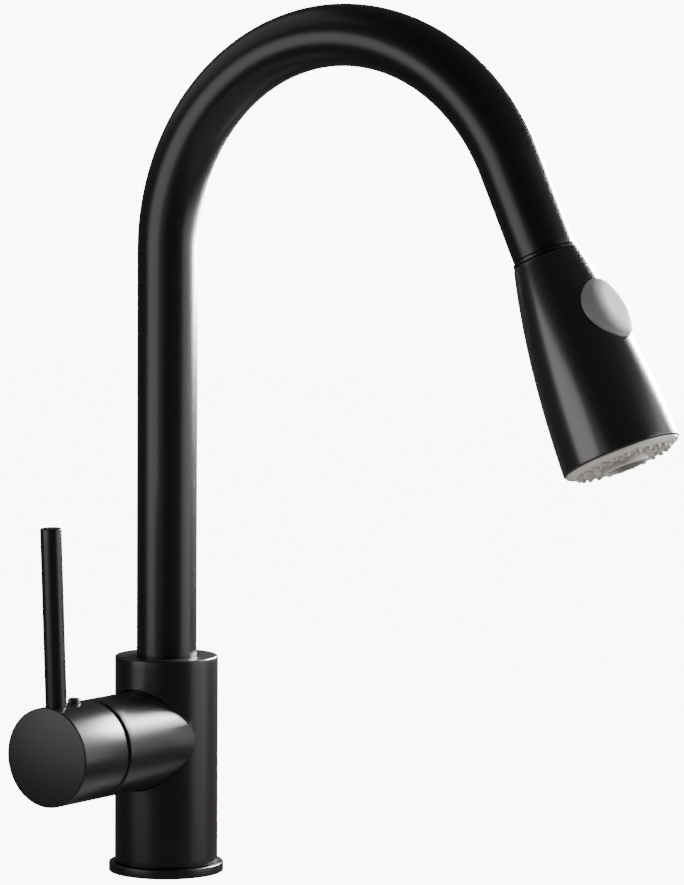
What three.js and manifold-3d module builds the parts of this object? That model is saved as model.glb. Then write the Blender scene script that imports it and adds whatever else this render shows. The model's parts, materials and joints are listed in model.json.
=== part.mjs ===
// Pull-down kitchen faucet: a column body with a side pin lever, a swivelling gooseneck spout and a
// spray head that docks in the end of the spout and comes away on a hose.
//
// Millimetres. Z is up from the deck, the origin is the middle of the base's underside, the spout
// reaches toward -Y and the mixer arm with its lever toward -X.
import * as THREE from "three";
import { mergeVertices } from "three/addons/utils/BufferGeometryUtils.js";
import Module from "manifold-3d";

// ---------------------------------------------------------------- driving dimensions

const gap = 0.3; // clearance between pieces that touch or run in each other

// Hose
const hoseRadius = 6.5;
const hoseWall = 2.6;
const ferruleRadius = hoseRadius + 1.1;

// Base and column
const flangeRadius = 26.85;
const flangeHeight = 4.3;
const flangeBore = 18.3;
const gasketRadius = 22.5; // middle of the gasket ring
const gasketWidth = 3.2;
const gasketHeight = 1.2;
const columnRadius = 24.05;
const columnTop = 101.4;
const columnBevel = 0.8;
const hosePassageRadius = hoseRadius + 2;
const sleeveWall = 0.9;
const studRadius = 3.3; // threads for the mounting studs under the deck
const studSpread = (hosePassageRadius + flangeBore) / 2 - 0.1; // from the axis
const studAngle = THREE.MathUtils.degToRad(50);
const studDepth = 14;

// Mixer arm, measured outward from the column's axis
const armHeight = 63.86; // height of the arm's axis
const armRadius = 22.79;
const armReach = 55.6;
const armChamfer = 0.6;
const chamberRadius = 20;
const chamberFloor = 17;
const portRadius = 2.4;
const portAxis = hosePassageRadius + 4; // how far the rising channels stand from the column's axis
const inletSpread = 8;
const inletDrop = 4.5;
const outletDrop = 10;

// Cartridge
const cartridgeRadius = 17.5;
const cartridgeWall = 3.3;
const sealHeight = 1.3;
const sealThickness = 1.3;
const cartridgeBaseHeight = 3;
const discHeight = 2.5;
const movingDiscRadius = 9.5;
const driverHeight = 6;
const driverMouthLength = 6.8; // the driver's pocket is longer at its mouth, for the leaning stem
const driverMouthDepth = 1.8;
const carrierHeight = 9.9;
const carrierSlotWidth = 9.6;
const carrierSlotLength = 15.6;
const housingMouthRadius = 10;
const nutHeight = 7;
const nutBore = 12.8;
const pivotBack = 16; // the tilting pivot stands this far inside the arm's face
const pinRadius = 1.5;
const pinLength = 25;
const stemRadius = 4.5;
const stemNeckRadius = 1.7;
const stemBallRadius = 2.2;
const stemShoulder = 3.6; // below the pivot, where the stem narrows
const bonnetWall = 1.5;
const bonnetMouthRadius = 17;

// Handle
const hubGap = 2.2;
const hubLength = 30.76;
const hubCavityRadius = chamberRadius + 1.39; // a little wider than the chamber that it covers
const hubBevel = 0.6;
const leverRadius = 4.88;
const leverLength = 81.14; // above the hub
const leverSetback = 7.13; // lever's foot behind the hub's front face
const leverLean = THREE.MathUtils.degToRad(2.76);
const leverSocketDepth = 8;
const leverStudRadius = 2.8;
const leverStudLength = 5.5;
const plugSetback = 20.06; // index plug behind the hub's front face
const plugRadius = 3;
const plugProud = 2.3;
const plugDepth = 3.9;
const setScrewRadius = 2;
const setScrewLength = 10;

// Spout
const tubeRadius = 14;
const tubeWall = 1.5;
const socketDepth = 17.9; // column top down to the step that carries the spout
const spigotLength = 18.5; // the thinner part of the socket, below that step
const adapterBore = hoseRadius + 2.1;
const spigotRadius = adapterBore + 3.3;
const adapterShoulder = 1.5;
const adapterNeckLength = 13;
const glideRingHeight = 1.2;
const archStartHeight = 290.2;
const archRadius = 99.05;
const archSweep = THREE.MathUtils.degToRad(154.853);
const spoutEndLength = 42.74;

// Spray head, measured along its own axis from the end of the spout
const collarHeight = 1.8;
const collarRadius = tubeRadius + 0.7;
const bushingLength = 18;
const bushingBore = 10.7;
const shellStart = 2.1;
const shellLength = 92.7;
const shellStartRadius = tubeRadius + 1.15;
const shellRimRadius = 26.6;
const shellWall = 1.8;
const buttonAt = 33.74;
const buttonHalfLength = 14.65;
const buttonHalfWidth = 13.4;
const buttonProud = 3.3;
const buttonFlatness = 2; // how many times wider the top's curve is than the shell's
const buttonLip = 0.4; // upright edge above the shell
const creaseHalfLength = 12.9; // where the sloping flank meets the top
const creaseHalfWidth = 10.2;
const buttonTravel = 2.5;
const spoolRadius = 4;
const spoolReach = 20; // from the button's underside inward
const hoseLeadLength = 52;
const dockNeckRadius = 10.2;
const faceHeight = 1.9;
const faceRimWidth = 2.6;
const nubRows = [
  { radius: 20.6, count: 24 },
  { radius: 16.6, count: 18 },
];
const nubRadius = 1.35;
const nubTipRadius = 1;
const nubHeight = 1.6;
const aeratorRadius = 10.8;
const aeratorBore = 8.6;
const aeratorProud = 5.2; // beyond the shell's rim
const aeratorDepth = 3.4; // of the recess that holds the screen
const screenThickness = 0.9;

// Facets round a circle
const fine = 36;
const medium = 24;
const coarse = 16;
const small = 8;
const tubeSides = 20;
const boreSides = 12;

// ---------------------------------------------------------------- worked-out places

const hubRear = armReach + hubGap;
const hubFront = hubRear + hubLength;
const pivotAt = armReach - pivotBack;
// The hub's cavity is a ball round the pivot, so that the hub clears the arm and bonnet at any tilt.
const hubBallRadius = Math.hypot(hubRear - pivotAt, hubCavityRadius) - 0.06;
const bonnetRadius = hubBallRadius - 2 * gap;
const leverFoot = hubFront - leverSetback;
const plugAt = hubFront - plugSetback;
const stemEnd = leverFoot - leverRadius + 0.5;

const sealAt = chamberFloor + gap;
const cartridgeBaseAt = sealAt + sealHeight + gap;
const fixedDiscAt = cartridgeBaseAt + cartridgeBaseHeight + gap;
const movingDiscAt = fixedDiscAt + discHeight + gap;
const driverAt = movingDiscAt + discHeight + gap;
const carrierAt = driverAt + driverHeight + gap;
const carrierEnd = carrierAt + carrierHeight;
const housingEnd = carrierEnd + gap + 3;
const nutAt = housingEnd + gap;
const stemBallAt = driverAt + 3.6;
const ports = [
  { name: "hot", x: -inletSpread, y: -inletDrop },
  { name: "cold", x: inletSpread, y: -inletDrop },
  { name: "outlet", x: 0, y: -outletDrop },
];

const socketStep = columnTop - socketDepth;
const socketFloor = socketStep - spigotLength;
const socketRadius = tubeRadius + gap;
const spigotSocketRadius = spigotRadius + 0.4;
const glideRingAt = socketStep + gap;
const shoulderAt = glideRingAt + glideRingHeight + gap;
const tubeBottom = shoulderAt + adapterShoulder + gap;
const tubeBore = tubeRadius - tubeWall;
const insertRadius = tubeBore * Math.cos(Math.PI / boreSides) - gap; // fits the tube's faceted bore
const sealGrooves = [socketFloor + 4, socketFloor + 9.5];
const keeperGroove = socketStep - 4.6; // middle of the groove that the retaining screw runs in

const spoutEnd = new THREE.Vector3(
  0,
  -archRadius * (1 - Math.cos(archSweep)) - spoutEndLength * Math.sin(archSweep),
  archStartHeight + archRadius * Math.sin(archSweep) + spoutEndLength * Math.cos(archSweep),
);
const rimAt = shellStart + shellLength;
const hoseLeadEnd = -16;
const hoseLeadStart = hoseLeadEnd - hoseLeadLength;
// The long run of hose stops short of the straight lead, on the arch's centre line.
const hoseRunSweep = archSweep - Math.atan2(-hoseLeadStart - spoutEndLength, archRadius) - 0.05;

// ---------------------------------------------------------------- materials

const finish = (color, roughness, metalness) =>
  new THREE.MeshStandardMaterial({ color, roughness, metalness });
const satinBlack = () => finish(0x17161a, 0.34, 0.75);
const matteBlack = () => finish(0x111113, 0.6, 0.1);
const buttonGrey = () => finish(0x8d8d91, 0.45, 0.05);
const faceGrey = () => finish(0xa9a8a2, 0.4, 0);
const brass = () => finish(0xb5934c, 0.35, 0.95);
const steel = () => finish(0xb9bbbe, 0.3, 1);
const whitePlastic = () => finish(0xe4e3dd, 0.5, 0);
const blackRubber = () => finish(0x1b1b1b, 0.85, 0);
const ceramic = () => finish(0xf0efe9, 0.15, 0);
const braid = () => finish(0x3b3b3f, 0.55, 0.3);

// ---------------------------------------------------------------- shape tools

const wasm = await Module();
wasm.setup();

// A closed geometry as a solid that can be joined and cut, moved by an optional matrix.
function solid(geometry, matrix) {
  const bare = geometry.index ? geometry.toNonIndexed() : geometry.clone();
  bare.deleteAttribute("normal");
  bare.deleteAttribute("uv");
  if (matrix) bare.applyMatrix4(matrix);
  const merged = mergeVertices(bare, 1e-4);
  const vertProperties = merged.attributes.position.array;
  const triVerts = new Uint32Array(merged.index.array);
  return new wasm.Manifold(new wasm.Mesh({ numProp: 3, vertProperties, triVerts }));
}

// The triangles of a joined or cut solid as a geometry.
function geometryOf(shape) {
  const mesh = shape.getMesh();
  const geometry = new THREE.BufferGeometry();
  geometry.setAttribute("position", new THREE.BufferAttribute(mesh.vertProperties, 3));
  geometry.setIndex(new THREE.BufferAttribute(mesh.triVerts, 1));
  geometry.computeVertexNormals();
  return geometry;
}

// A body with all the cutters taken out of it.
const cut = (body, ...cutters) => cutters.reduce((left, cutter) => left.subtract(cutter), body);

// A profile of [radius, height] points turned round Z, listed anticlockwise: out along the bottom,
// up the outside and back in along the top.
function turned(profile, sides) {
  const points = profile.map(([radius, height]) => new THREE.Vector2(radius, height));
  return new THREE.LatheGeometry(points, sides).rotateX(Math.PI / 2);
}

const rod = (radius, from, to, sides) =>
  turned([[0, from], [radius, from], [radius, to], [0, to]], sides);

const ring = (inner, outer, from, to, sides) =>
  turned([[inner, from], [outer, from], [outer, to], [inner, to], [inner, from]], sides);

// An O-ring round Z with a six-sided section.
function oRing(radius, height, thickness, sides) {
  const section = [];
  for (let i = 0; i < 6; i += 1) {
    const angle = (i / 6) * 2 * Math.PI;
    section.push([
      radius + (thickness / 2) * Math.cos(angle),
      height + (thickness / 2) * Math.sin(angle),
    ]);
  }
  return turned([...section, section[0]], sides);
}

// Points of an arc of a circle centred on the axis, from one angle off the axis to another.
function arcPoints(radius, centreHeight, fromAngle, toAngle, steps) {
  return Array.from({ length: steps + 1 }, (_, i) => {
    const angle = THREE.MathUtils.lerp(fromAngle, toAngle, i / steps);
    return [radius * Math.sin(angle), centreHeight + radius * Math.cos(angle)];
  });
}

const moved = (x, y, z) => new THREE.Matrix4().makeTranslation(x, y, z);

// A frame at a point whose Z axis points along a direction, with X kept as near as can be to "side".
function frame(origin, zAxis, side) {
  const yAxis = new THREE.Vector3().crossVectors(zAxis, side).normalize();
  const xAxis = new THREE.Vector3().crossVectors(yAxis, zAxis).normalize();
  return new THREE.Matrix4().makeBasis(xAxis, yAxis, zAxis).setPosition(origin);
}

const xWay = new THREE.Vector3(1, 0, 0);
const yWay = new THREE.Vector3(0, 1, 0);

// The spout's centre line: up the column, round the arch, down the straight end. Its stations are
// one at the bottom, one at each step of the arch and one at the very end, if there is a straight end.
class GooseneckCurve extends THREE.Curve {
  constructor(bottom, sweep, endLength, archSteps) {
    super();
    this.bottom = bottom;
    this.sweep = sweep;
    this.endLength = endLength;
    this.archSteps = archSteps;
    this.stations = archSteps + 1 + (endLength > 0 ? 1 : 0);
  }

  getUtoTmapping(u) {
    return u;
  }

  getPoint(t, target = new THREE.Vector3()) {
    const station = t * this.stations;
    if (station < 1) {
      return target.set(0, 0, THREE.MathUtils.lerp(this.bottom, archStartHeight, station));
    }
    const turn = Math.min(1, (station - 1) / this.archSteps) * this.sweep;
    const past = Math.max(0, station - 1 - this.archSteps) * this.endLength;
    return target.set(
      0,
      -archRadius * (1 - Math.cos(turn)) - past * Math.sin(turn),
      archStartHeight + archRadius * Math.sin(turn) + past * Math.cos(turn),
    );
  }

  getTangent(t, target = new THREE.Vector3()) {
    const turn = THREE.MathUtils.clamp((t * this.stations - 1) / this.archSteps, 0, 1) * this.sweep;
    return target.set(0, -Math.sin(turn), Math.cos(turn));
  }
}

// A pipe along a gooseneck centre line.
function pipe(outer, outerSides, inner, innerSides, curve) {
  const section = polygon(outer, outerSides, THREE.Shape);
  section.holes.push(polygon(inner, innerSides, THREE.Path));
  return new THREE.ExtrudeGeometry(section, { steps: curve.stations, extrudePath: curve });
}

function polygon(radius, sides, Kind) {
  const corners = Array.from({ length: sides }, (_, i) => {
    const angle = (i / sides) * 2 * Math.PI;
    return new THREE.Vector2(radius * Math.cos(angle), radius * Math.sin(angle));
  });
  return new Kind(corners);
}

// ---------------------------------------------------------------- scene graph

const faucet = new THREE.Group();

// The mixer's frame: on the arm's axis at the column, Z outward along the arm, Y up.
const mixer = new THREE.Group();
mixer.position.set(0, 0, armHeight);
mixer.rotation.set(Math.PI / 2, 0, -Math.PI / 2, "ZYX");
faucet.add(mixer);
mixer.updateMatrix();
const mixerMatrix = mixer.matrix;

// The spray head's frame: at the end of the spout, Z along the head, Y outward through the button.
const head = new THREE.Group();
head.position.copy(spoutEnd);
head.rotation.x = archSweep;
faucet.add(head);

function add(parent, name, geometry, material) {
  const mesh = new THREE.Mesh(geometry, material);
  mesh.name = name;
  parent.add(mesh);
}

// ---------------------------------------------------------------- base and column

function baseFlange() {
  const bevel = 0.5;
  const groove = gasketWidth / 2 + gap;
  return turned(
    [
      [gasketRadius + groove, 0],
      [flangeRadius, 0],
      [flangeRadius, flangeHeight - bevel],
      [flangeRadius - bevel, flangeHeight],
      [flangeBore, flangeHeight],
      [flangeBore, 0],
      [gasketRadius - groove, 0],
      [gasketRadius - groove, gasketHeight + gap],
      [gasketRadius + groove, gasketHeight + gap],
      [gasketRadius + groove, 0],
    ],
    fine,
  );
}

function valveBody() {
  const bottom = flangeHeight + gap;
  const spigot = flangeBore - gap;
  const underside = 2 * gap;
  const column = solid(
    turned(
      [
        [0, underside],
        [spigot, underside],
        [spigot, bottom],
        [columnRadius, bottom],
        [columnRadius, columnTop - columnBevel],
        [columnRadius - columnBevel, columnTop],
        [0, columnTop],
      ],
      fine,
    ),
  );
  const arm = solid(
    turned(
      [
        [0, 0],
        [armRadius, 0],
        [armRadius, armReach - armChamfer],
        [armRadius - armChamfer, armReach],
        [0, armReach],
      ],
      fine,
    ),
    mixerMatrix,
  );
  const spoutSocket = solid(
    turned(
      [
        [0, 0],
        [hosePassageRadius, 0],
        [hosePassageRadius, socketFloor],
        [spigotSocketRadius, socketFloor],
        [spigotSocketRadius, socketStep],
        [socketRadius, socketStep],
        [socketRadius, columnTop + 1],
        [0, columnTop + 1],
      ],
      medium,
    ),
  );
  const chamber = solid(rod(chamberRadius, chamberFloor, armReach + 1, fine), mixerMatrix);
  const channels = ports.flatMap(({ x, y }) => [
    solid(rod(portRadius, 0, armHeight + y, small), moved(-portAxis, -x, 0)),
    solid(
      rod(portRadius, portAxis, chamberFloor + 1, small),
      mixerMatrix.clone().multiply(moved(x, y, 0)),
    ),
  ]);
  const studs = [-1, 1].map((side) =>
    solid(
      rod(studRadius, 0, studDepth, small),
      moved(studSpread * Math.cos(studAngle), side * studSpread * Math.sin(studAngle), 0),
    ),
  );
  const keeper = solid(
    rod(setScrewRadius + gap, spigotRadius - 2, columnRadius + 1, small),
    frame(new THREE.Vector3(0, 0, keeperGroove), yWay, xWay),
  );
  return geometryOf(cut(column.add(arm), spoutSocket, chamber, ...channels, ...studs, keeper));
}

add(faucet, "base_flange", baseFlange(), satinBlack());
add(
  faucet,
  "base_gasket",
  ring(gasketRadius - gasketWidth / 2, gasketRadius + gasketWidth / 2, 0, gasketHeight, medium),
  blackRubber(),
);
add(faucet, "valve_body", valveBody(), satinBlack());
add(
  faucet,
  "hose_guide_sleeve",
  ring(
    hosePassageRadius - gap - sleeveWall,
    hosePassageRadius - gap,
    2 * gap,
    socketFloor - 1,
    coarse,
  ),
  whitePlastic(),
);

// ---------------------------------------------------------------- cartridge

const portBores = (from, to) =>
  ports.map(({ x, y }) => solid(rod(portRadius, from, to, small), moved(x, y, 0)));

function portedDisc(radius, from, height) {
  return geometryOf(
    cut(solid(rod(radius, from, from + height, medium)), ...portBores(from - 1, from + height + 1)),
  );
}

// The moving disc has a blind pocket in its rear face that joins the ports as it slides.
function movingDisc() {
  const disc = solid(rod(movingDiscRadius, movingDiscAt, movingDiscAt + discHeight, medium));
  const pocket = solid(rod(5, movingDiscAt - 1, movingDiscAt + discHeight * 0.5, small));
  return geometryOf(disc.subtract(pocket));
}

function discDriver() {
  const body = solid(rod(movingDiscRadius, driverAt, driverAt + driverHeight, medium));
  const size = 2 * (stemBallRadius + gap);
  const depth = driverHeight - 1;
  const pocket = solid(
    new THREE.BoxGeometry(size, size, depth + 2),
    moved(0, 0, driverAt + driverHeight + 1 - depth / 2),
  );
  const mouth = solid(
    new THREE.BoxGeometry(size, driverMouthLength, 2 * driverMouthDepth),
    moved(0, 0, driverAt + driverHeight),
  );
  return geometryOf(cut(body, pocket, mouth));
}

function leverCarrier() {
  const body = solid(rod(cartridgeRadius - cartridgeWall - 0.4, carrierAt, carrierEnd, medium));
  const slot = solid(
    new THREE.BoxGeometry(carrierSlotWidth, carrierSlotLength, carrierHeight + 2),
    moved(0, 0, carrierAt + carrierHeight / 2),
  );
  const pinBore = solid(
    rod(pinRadius + gap, -cartridgeRadius, cartridgeRadius, small),
    frame(new THREE.Vector3(0, 0, pivotAt), xWay, yWay),
  );
  return geometryOf(cut(body, slot, pinBore));
}

function pivotPin() {
  return rod(pinRadius, -pinLength / 2, pinLength / 2, small).applyMatrix4(
    frame(new THREE.Vector3(0, 0, pivotAt), xWay, yWay),
  );
}

function cartridgeHousing() {
  const bore = cartridgeRadius - cartridgeWall;
  return turned(
    [
      [bore, fixedDiscAt],
      [cartridgeRadius, fixedDiscAt],
      [cartridgeRadius, housingEnd],
      [housingMouthRadius, housingEnd],
      [housingMouthRadius, carrierEnd + gap],
      [bore, carrierEnd + gap],
      [bore, fixedDiscAt],
    ],
    medium,
  );
}

// The nut that holds the cartridge down, with four slots for a pin spanner.
function cartridgeNut() {
  const body = solid(ring(nutBore, chamberRadius - 0.4, nutAt, nutAt + nutHeight, medium));
  const slots = [0, 1].map((turn) =>
    solid(
      new THREE.BoxGeometry(2 * chamberRadius - 6, 3, 4),
      moved(0, 0, nutAt + nutHeight).multiply(
        new THREE.Matrix4().makeRotationZ((turn * Math.PI) / 2 + Math.PI / 4),
      ),
    ),
  );
  return geometryOf(cut(body, ...slots));
}

// A ball-shaped cap over the arm's open end, centred on the tilting pivot, with a round mouth and a
// skirt that drops into the chamber.
function bonnetDome() {
  const seat = armReach + gap;
  const skirtFoot = seat - 0.9;
  const skirtRadius = chamberRadius - 0.4;
  const bore = skirtRadius - 1.5;
  const inner = bonnetRadius - bonnetWall;
  const outside = arcPoints(
    bonnetRadius,
    pivotAt,
    Math.acos((seat - pivotAt) / bonnetRadius),
    Math.asin(bonnetMouthRadius / bonnetRadius),
    5,
  );
  const inside = arcPoints(
    inner,
    pivotAt,
    Math.asin((bonnetMouthRadius - 0.4) / inner),
    Math.asin(bore / inner),
    2,
  );
  const skirt = [[bore, skirtFoot], [skirtRadius, skirtFoot], [skirtRadius, seat]];
  return turned([...outside, ...inside, ...skirt, outside[0]], fine);
}

for (const { name, x, y } of ports) {
  add(
    mixer,
    `cartridge_seal_${name}`,
    oRing(portRadius + sealThickness / 2, sealAt + sealHeight / 2, sealThickness, small).translate(x, y, 0),
    blackRubber(),
  );
}
add(
  mixer,
  "cartridge_base",
  portedDisc(cartridgeRadius, cartridgeBaseAt, cartridgeBaseHeight),
  whitePlastic(),
);
add(
  mixer,
  "fixed_ceramic_disc",
  portedDisc(cartridgeRadius - cartridgeWall - gap, fixedDiscAt, discHeight),
  ceramic(),
);
add(mixer, "moving_ceramic_disc", movingDisc(), ceramic());
add(mixer, "disc_driver", discDriver(), whitePlastic());
add(mixer, "lever_carrier", leverCarrier(), whitePlastic());
add(mixer, "pivot_pin", pivotPin(), steel());
add(mixer, "cartridge_housing", cartridgeHousing(), whitePlastic());
add(mixer, "cartridge_nut", cartridgeNut(), brass());
add(mixer, "bonnet_dome", bonnetDome(), satinBlack());

// ---------------------------------------------------------------- handle

// The lever's frame: its foot on the hub's upper side, Z up along the lever.
const leverMount = new THREE.Group();
leverMount.position.set(0, armRadius, leverFoot);
leverMount.rotation.x = leverLean - Math.PI / 2;
mixer.add(leverMount);
leverMount.updateMatrix();

// The frame of the index plug and the screw under it: on the arm's axis, Z up.
const plugMount = new THREE.Group();
plugMount.position.set(0, 0, plugAt);
plugMount.rotation.x = -Math.PI / 2;
mixer.add(plugMount);
plugMount.updateMatrix();

const plugFloor = armRadius + plugProud - plugDepth - 2.4;
const setScrewFoot = stemRadius + gap;

function handleHub() {
  const rearBevel = 0.4;
  const body = solid(
    turned(
      [
        [0, hubRear],
        [armRadius - rearBevel, hubRear],
        [armRadius, hubRear + rearBevel],
        [armRadius, hubFront - hubBevel],
        [armRadius - hubBevel, hubFront],
        [0, hubFront],
      ],
      fine,
    ),
  );
  const ballEdge = Math.asin(hubCavityRadius / hubBallRadius);
  const cavity = solid(
    turned(
      [
        [0, hubRear - 1],
        [hubCavityRadius, hubRear - 1],
        ...arcPoints(hubBallRadius, pivotAt, ballEdge, 0, 7),
      ],
      fine,
    ),
  );
  const screwBoss = solid(rod(4.5, 0, hubCavityRadius - 1, coarse), plugMount.matrix);
  const stemBore = solid(rod(stemRadius + gap, hubRear, stemEnd + gap, coarse));
  const leverSocket = solid(
    turned(
      [
        [0, -leverSocketDepth - leverStudLength - gap],
        [leverStudRadius + gap, -leverSocketDepth - leverStudLength - gap],
        [leverStudRadius + gap, -leverSocketDepth - gap],
        [leverRadius + gap, -leverSocketDepth - gap],
        [leverRadius + gap, leverRadius],
        [0, leverRadius],
      ],
      coarse,
    ),
    leverMount.matrix,
  );
  const screwHole = solid(
    turned(
      [
        [0, 0],
        [setScrewRadius + gap, 0],
        [setScrewRadius + gap, plugFloor - gap],
        [plugRadius + gap, plugFloor - gap],
        [plugRadius + gap, armRadius + 1],
        [0, armRadius + 1],
      ],
      coarse,
    ),
    plugMount.matrix,
  );
  return geometryOf(cut(body.subtract(cavity).add(screwBoss), stemBore, leverSocket, screwHole));
}

function handleLever() {
  const bevel = 0.35;
  return turned(
    [
      [0, -leverSocketDepth - leverStudLength],
      [leverStudRadius, -leverSocketDepth - leverStudLength],
      [leverStudRadius, -leverSocketDepth],
      [leverRadius, -leverSocketDepth],
      [leverRadius, leverLength - bevel],
      [leverRadius - bevel, leverLength],
      [0, leverLength],
    ],
    coarse,
  );
}

function indexPlug() {
  const top = armRadius + plugProud;
  return turned(
    [[0, plugFloor], [plugRadius, plugFloor], [plugRadius, top - 0.6], [plugRadius - 0.7, top], [0, top]],
    small,
  );
}

function hubSetScrew() {
  const top = setScrewFoot + setScrewLength;
  const body = solid(rod(setScrewRadius, setScrewFoot, top, small));
  const hexSocket = solid(rod(1.1, top - 2, top + 1, 6));
  return geometryOf(body.subtract(hexSocket));
}

// The stem tilts on the cross pin; its ball end moves the driver and its outer end carries the hub.
function cartridgeStem() {
  const shoulder = pivotAt - stemShoulder;
  const ballAngle = Math.asin(stemNeckRadius / stemBallRadius);
  const body = solid(
    turned(
      [
        ...arcPoints(stemBallRadius, stemBallAt, Math.PI, ballAngle, 6),
        [stemNeckRadius, shoulder - 1],
        [stemRadius, shoulder],
        [stemRadius, stemEnd],
        [0, stemEnd],
      ],
      coarse,
    ),
  );
  const pinBore = solid(
    rod(pinRadius + gap, -2 * stemRadius, 2 * stemRadius, small),
    frame(new THREE.Vector3(0, 0, pivotAt), xWay, yWay),
  );
  return geometryOf(body.subtract(pinBore));
}

add(mixer, "cartridge_stem", cartridgeStem(), steel());
add(mixer, "handle_hub", handleHub(), satinBlack());
add(leverMount, "handle_lever", handleLever(), satinBlack());
add(plugMount, "hub_set_screw", hubSetScrew(), steel());
add(plugMount, "index_plug", indexPlug(), matteBlack());

// ---------------------------------------------------------------- spout

// The spigot that the spout turns on, with two seal grooves and one for the retaining screw.
function spoutAdapter() {
  const foot = socketFloor + 2 * gap;
  const neck = shoulderAt + adapterShoulder;
  const notch = (middle, halfWidth, depth) => [
    [spigotRadius, middle - halfWidth],
    [spigotRadius - depth, middle - halfWidth],
    [spigotRadius - depth, middle + halfWidth],
    [spigotRadius, middle + halfWidth],
  ];
  return turned(
    [
      [adapterBore, foot],
      [spigotRadius, foot],
      ...notch(sealGrooves[0], 1.2, 1.6),
      ...notch(sealGrooves[1], 1.2, 1.6),
      ...notch(keeperGroove, 2.5, 1.3),
      [spigotRadius, shoulderAt],
      [tubeRadius - 0.2, shoulderAt],
      [tubeRadius - 0.2, neck],
      [insertRadius, neck],
      [insertRadius, neck + adapterNeckLength],
      [adapterBore, neck + adapterNeckLength],
      [adapterBore, foot],
    ],
    coarse,
  );
}

function endBushing() {
  return turned(
    [
      [bushingBore, -bushingLength],
      [insertRadius, -bushingLength],
      [insertRadius, 0],
      [collarRadius, 0],
      [collarRadius, collarHeight],
      [bushingBore, collarHeight],
      [bushingBore, -bushingLength],
    ],
    coarse,
  );
}

const spoutCurve = new GooseneckCurve(tubeBottom, archSweep, spoutEndLength - gap, 20);
const hoseCurve = new GooseneckCurve(1, hoseRunSweep, 0, 14);

add(faucet, "spout_tube", pipe(tubeRadius, tubeSides, tubeBore, boreSides, spoutCurve), satinBlack());
add(faucet, "spout_adapter", spoutAdapter(), brass());
add(
  faucet,
  "spout_glide_ring",
  ring(spigotRadius + 0.5, tubeRadius - 0.2, glideRingAt, glideRingAt + glideRingHeight, coarse),
  whitePlastic(),
);
["lower", "upper"].forEach((name, i) => {
  add(faucet, `spout_seal_${name}`, oRing(spigotRadius - 0.6, sealGrooves[i], 1.4, coarse), blackRubber());
});
add(
  faucet,
  "spout_retaining_screw",
  rod(setScrewRadius, spigotRadius - 0.8, columnRadius - 2, small).applyMatrix4(
    frame(new THREE.Vector3(0, 0, keeperGroove), yWay, xWay),
  ),
  steel(),
);
add(head, "spout_end_bushing", endBushing(), matteBlack());
add(faucet, "pull_hose_run", pipe(hoseRadius, small, hoseRadius - hoseWall, small, hoseCurve), braid());

// ---------------------------------------------------------------- hose end

const tailpieceCollarAt = 4;

add(
  head,
  "pull_hose_lead",
  ring(hoseRadius - hoseWall, hoseRadius, hoseLeadStart, hoseLeadEnd, small),
  braid(),
);
add(
  head,
  "hose_ferrule",
  ring(hoseRadius - hoseWall, ferruleRadius, hoseLeadEnd + gap, -4, coarse),
  steel(),
);
add(
  head,
  "hose_tailpiece",
  turned(
    [
      [3, -4 + gap],
      [4.6, -4 + gap],
      [4.6, tailpieceCollarAt],
      [6.2, tailpieceCollarAt],
      [6.2, tailpieceCollarAt + 2],
      [3, tailpieceCollarAt + 2],
      [3, -4 + gap],
    ],
    coarse,
  ),
  brass(),
);

// ---------------------------------------------------------------- spray head

// The shell's outer radius: a quick flare at the neck that eases into an almost straight rim.
function shellRadius(t) {
  const u = THREE.MathUtils.clamp((t - shellStart) / shellLength, 0, 1);
  const flare = 1.974 * u - 1.213 * u * u + 0.239 * u * u * u;
  return shellStartRadius + (shellRimRadius - shellStartRadius) * flare;
}

const shellOutline = (inset, from, to, steps) =>
  Array.from({ length: steps + 1 }, (_, i) => {
    const t = THREE.MathUtils.lerp(from, to, i / steps);
    return [shellRadius(t) - inset, t];
  });

const coreTop = 10.2;
const coreEnd = 86;
const coreBore = 5.4;
const valveBore = 3;
const poppetRadius = 2.5;
const poppetStemRadius = 1;
const pocketFloor = 10.4; // flat under the button, from the head's axis
const buttonFoot = 13.6;
const springPocket = 7.4;
const springFloor = 4.2;
const spoolBore = spoolRadius + 0.4;

// An oval post through the shell at the button, from one height off the head's axis to another.
function buttonPost(grow, from, to, sides) {
  const post = new THREE.CylinderGeometry(1, 1, to - from, sides);
  post.scale(buttonHalfWidth + grow, 1, buttonHalfLength + grow);
  return solid(post, moved(0, (from + to) / 2, buttonAt));
}

// A round post on the same line.
function buttonLineRod(radius, from, to, sides) {
  const post = new THREE.CylinderGeometry(radius, radius, to - from, sides);
  return solid(post, moved(0, (from + to) / 2, buttonAt));
}

function headShell() {
  const topWall = 2;
  const inner = shellOutline(shellWall, shellStart + topWall, rimAt, 5).reverse();
  const mouth = dockNeckRadius + gap;
  const shell = solid(
    turned(
      [
        [mouth, shellStart],
        ...shellOutline(0, shellStart, rimAt, 10),
        ...inner,
        [mouth, shellStart + topWall],
        [mouth, shellStart],
      ],
      fine,
    ),
  );
  return geometryOf(shell.subtract(buttonPost(0.4, 8, 40, medium)));
}

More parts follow.
